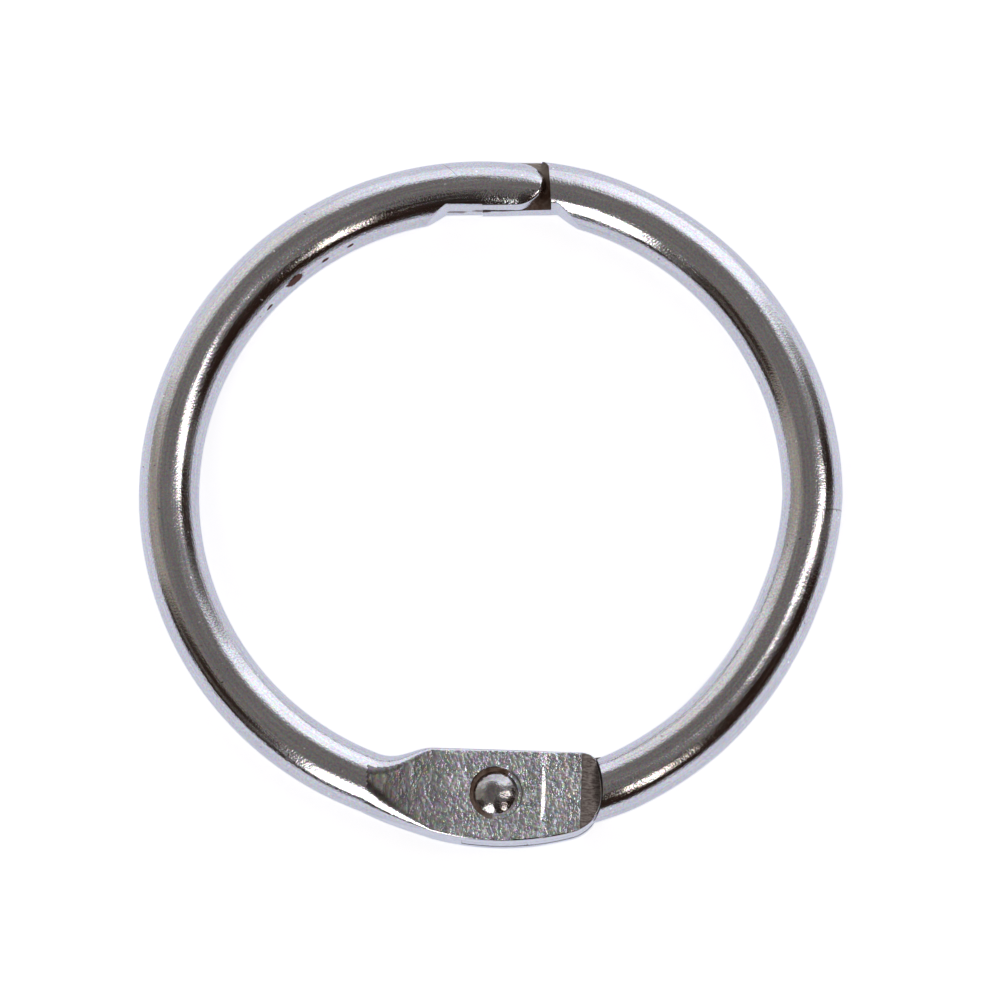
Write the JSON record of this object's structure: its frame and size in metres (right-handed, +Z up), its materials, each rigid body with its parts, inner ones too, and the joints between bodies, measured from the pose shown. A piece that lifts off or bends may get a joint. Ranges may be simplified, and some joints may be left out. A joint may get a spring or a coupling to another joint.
{
  "type": "hinged jailer ring",
  "caption": "Plated steel wire ring in two halves: a forked, riveted hinge on one side and a snap half-lap closure opposite, for holding keys.",
  "frame": {"origin": "middle of the ring's outline in X and Y, on the surface the ring lies flat on", "axes": "+Z up, along the rivet and square to the ring's plane; -Y from the middle to the hinge; +X from the forked half to the tongued half"},
  "size_m": [0.0384, 0.038, 0.0033],
  "materials": {
    "fork_half_plate": "bright nickel plate over drawn steel wire, pitted and rubbed",
    "tongue_half_plate": "bright nickel plate over drawn steel wire, pitted and rubbed",
    "rivet_plate": "bright nickel plate, headed smooth"
  },
  "bodies": {
    "forked_side": {"fork_half": "fork_half_plate", "rivet": "rivet_plate"},
    "tongued_side": {"tongue_half": "tongue_half_plate"}
  },
  "joints": [
    {"name": "ring_hinge", "type": "hinge", "parent": "forked_side", "child": "tongued_side", "pos_m": [0.00028, -0.01639, 0.00165], "axis": [0, 0, -1], "range_deg": [0, 70]}
  ]
}
